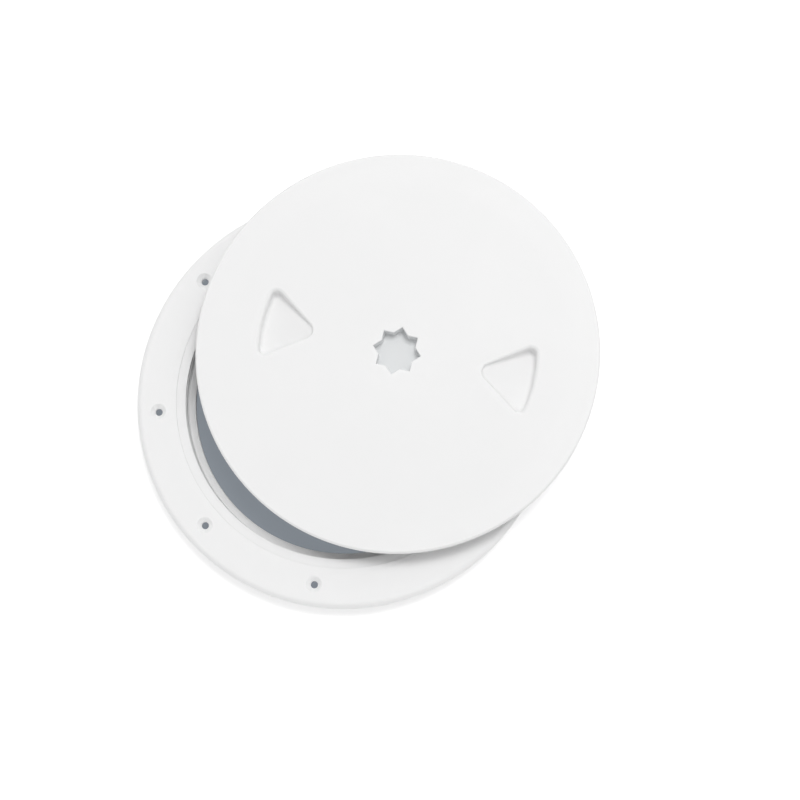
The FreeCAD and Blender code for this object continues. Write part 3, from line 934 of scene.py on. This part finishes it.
def moulded_material(name, base, shade, roughness, grain_size, grain_depth, inner_light, painted_shade=None):
    """A moulded material with slow changes of tone and roughness, and a fine grain.

    The painted shade, if given, is a colour and a function that makes the mask of where it lies; the colour
    darkens the face there in place of shade.
    """
    base = tuple(base)
    material = bpy.data.materials.new(name)
    material.use_nodes = True
    material.diffuse_color = base
    tree = material.node_tree
    tree.nodes.clear()
    grain = add_node(
        tree, "ShaderNodeGroup", {"Grain Size": grain_size, "Cloud Size": CLOUD_SIZE},
        node_tree=moulded_grain())
    darker = tuple(channel * shade for channel in base[:3]) + (1,)
    tone = mixed(tree, grain.outputs["Cloud"], base, darker)
    # Painted shade: where the mask lies, the given colour darkens the face in place of the shade there
    if painted_shade:
        shade_colour, shade_mask = painted_shade
        tone = mixed(tree, shade_mask(tree), tone, tuple(shade_colour))
    rough = add_node(tree, "ShaderNodeMapRange", {
        "Value": grain.outputs["Cloud"],
        "To Min": roughness - ROUGHNESS_SPREAD, "To Max": roughness + ROUGHNESS_SPREAD})
    bump = add_node(tree, "ShaderNodeBump", {
        "Height": grain.outputs["Height"], "Strength": GRAIN_STRENGTH, "Distance": grain_depth})
    shader = add_node(tree, "ShaderNodeBsdfPrincipled", {
        "Base Color": tone, "Roughness": rough.outputs["Result"], "Specular IOR Level": GLOSS_LEVEL,
        "Subsurface Weight": inner_light, "Subsurface Radius": (1, 1, 1), "Subsurface Scale": INNER_REACH,
        "Normal": bump.outputs["Normal"]})
    add_node(tree, "ShaderNodeOutputMaterial", {"Surface": shader.outputs["BSDF"]})
    return material


def ring_plastic(look):
    """The ring's white plastic."""
    return moulded_material("Ring plastic", look.ring_colour, **WHITE_PLASTIC)


def lid_plastic(look, lid):
    """The lid's white plastic, with painted shade deep in the key socket."""
    painted_shade = (look.socket_shade_colour, lambda tree: socket_shade_mask(tree, lid))
    return moulded_material("Lid plastic", look.lid_colour, painted_shade=painted_shade, **WHITE_PLASTIC)


def seal_rubber(look):
    """The seal's black rubber."""
    return moulded_material("Seal rubber", look.seal_colour, **BLACK_RUBBER)


# Stage

def floor_material(stage, look):
    """A pale floor, which the camera sees a little brighter than it is lit, with a darker, bluish patch of
    painted shade under the plate.
    """
    material = bpy.data.materials.new("Floor")
    material.use_nodes = True
    tree = material.node_tree
    tree.nodes.clear()
    path = add_node(tree, "ShaderNodeLightPath")
    seen = add_node(
        tree, "ShaderNodeMath",
        {0: path.outputs["Is Camera Ray"], 1: path.outputs["Is Glossy Ray"]}, operation="MAXIMUM")
    seen_too = add_node(
        tree, "ShaderNodeMath",
        {0: seen.outputs["Value"], 1: path.outputs["Is Transmission Ray"]}, operation="MAXIMUM")
    place = add_node(tree, "ShaderNodeTexCoord").outputs["Object"]
    reach = add_node(tree, "ShaderNodeVectorMath", {0: place}, operation="LENGTH")
    # Painted shade: under the plate the floor is dark and glows dim grey to the camera, fading to the pale
    # floor over the patch's edge
    fade = add_node(
        tree, "ShaderNodeMapRange",
        {"Value": reach.outputs["Value"], "From Min": stage.shade_patch_radius,
         "From Max": stage.shade_patch_radius + stage.shade_patch_fade},
        interpolation_type="SMOOTHSTEP")
    outside = fade.outputs["Result"]
    tone = mixed(tree, outside, tuple(look.shade_patch_colour), tuple(look.floor_colour))
    white_glow = (stage.floor_glow, stage.floor_glow, stage.floor_glow, 1)
    glow = mixed(tree, outside, tuple(look.shade_patch_glow), white_glow)
    shader = add_node(tree, "ShaderNodeBsdfPrincipled", {
        "Base Color": tone, "Roughness": FLOOR_ROUGHNESS, "Specular IOR Level": 0.0,
        "Emission Color": glow, "Emission Strength": seen_too.outputs["Value"]})
    add_node(tree, "ShaderNodeOutputMaterial", {"Surface": shader.outputs["BSDF"]})
    return material


def make_floor(stage, look):
    """A flat floor, on which the ring's collar stands."""
    half = stage.floor_width / 2
    mesh = bpy.data.meshes.new("floor")
    corners = [(-half, -half), (half, -half), (half, half), (-half, half)]
    mesh.from_pydata(at_height(corners, COLLAR_BOTTOM), [], [(0, 1, 2, 3)])
    mesh.materials.append(floor_material(stage, look))
    floor = new_object("floor", mesh)


def make_camera(stage):
    """Look down from the photograph's place, above the plate's near side."""
    place = Vector(stage.camera_place)
    forward = (Vector(stage.camera_aim) - place).normalized()
    right = forward.cross(Vector((0, 1, 0))).normalized()
    up = right.cross(forward)
    camera = bpy.data.objects.new("camera", bpy.data.cameras.new("camera"))
    camera.data.lens = stage.lens
    camera.data.sensor_width = FILM_WIDTH
    turn = Matrix((right, up, -forward)).transposed().to_4x4()
    camera.matrix_world = Matrix.Translation(place) @ turn @ Matrix.Rotation(stage.camera_roll, 4, "Z")
    bpy.context.scene.collection.objects.link(camera)
    bpy.context.scene.camera = camera


def make_light(stage):
    """One soft lamp high up beyond the plate's far right side, in even light from all round."""
    lamp = bpy.data.lights.new("key", "AREA")
    lamp.energy = stage.key_power
    lamp.size = stage.key_size
    key = bpy.data.objects.new("key", lamp)
    across = sin(stage.key_tilt)
    direction = Vector((across * cos(stage.key_turn), across * sin(stage.key_turn), cos(stage.key_tilt)))
    key.location = direction * stage.key_distance
    key.rotation_euler = (-direction).to_track_quat("-Z", "Y").to_euler()
    bpy.context.scene.collection.objects.link(key)
    world = bpy.data.worlds.new("world")
    world.use_nodes = True
    background = world.node_tree.nodes["Background"]
    background.inputs["Color"].default_value = (1, 1, 1, 1)
    background.inputs["Strength"].default_value = stage.world_strength
    bpy.context.scene.world = world


class DECKPLATE_OT_stage(bpy.types.Operator):
    """Make the floor, the light and the camera"""
    bl_idname = "deckplate.stage"
    bl_label = "Stage"

    def execute(self, context):
        scene = context.scene
        make_floor(scene.deckplate_stage, scene.deckplate_look)
        make_light(scene.deckplate_stage)
        make_camera(scene.deckplate_stage)
        scene.view_settings.view_transform = "Standard"
        return {"FINISHED"}


# Add-on

PROPERTY_GROUPS = {
    "deckplate_ring": DECKPLATE_PG_ring,
    "deckplate_thread": DECKPLATE_PG_thread,
    "deckplate_lid": DECKPLATE_PG_lid,
    "deckplate_seal": DECKPLATE_PG_seal,
    "deckplate_look": DECKPLATE_PG_look,
    "deckplate_stage": DECKPLATE_PG_stage,
}
OPERATORS = (
    DECKPLATE_OT_mounting_ring,
    DECKPLATE_OT_screw_lid,
    DECKPLATE_OT_sealing_ring,
    DECKPLATE_OT_stage,
)


class DECKPLATE_PT_panel(bpy.types.Panel):
    """Panel with each piece's button and all the sizes and colours"""
    bl_idname = "DECKPLATE_PT_panel"
    bl_label = "Deck Plate"
    bl_space_type = "VIEW_3D"
    bl_region_type = "UI"
    bl_category = "Deck Plate"

    def draw(self, context):
        layout = self.layout
        for operator in OPERATORS:
            layout.operator(operator.bl_idname)
        for name, group in PROPERTY_GROUPS.items():
            box = layout.box()
            box.label(text=group.__doc__)
            for field in group.__annotations__:
                box.prop(getattr(context.scene, name), field)


CLASSES = (*PROPERTY_GROUPS.values(), *OPERATORS, DECKPLATE_PT_panel)


def register():
    """Add the add-on's classes, and its settings to every scene."""
    for made in CLASSES:
        bpy.utils.register_class(made)
    for name, group in PROPERTY_GROUPS.items():
        setattr(bpy.types.Scene, name, PointerProperty(type=group))


def unregister():
    """Take the settings and the classes away again."""
    for name in PROPERTY_GROUPS:
        delattr(bpy.types.Scene, name)
    for made in reversed(CLASSES):
        bpy.utils.unregister_class(made)


def main():
    """Build the plate and its stage."""
    register()
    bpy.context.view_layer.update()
    bpy.ops.deckplate.mounting_ring()
    bpy.ops.deckplate.screw_lid()
    bpy.ops.deckplate.sealing_ring()
    bpy.ops.deckplate.stage()


if __name__ == "__main__":
    main()
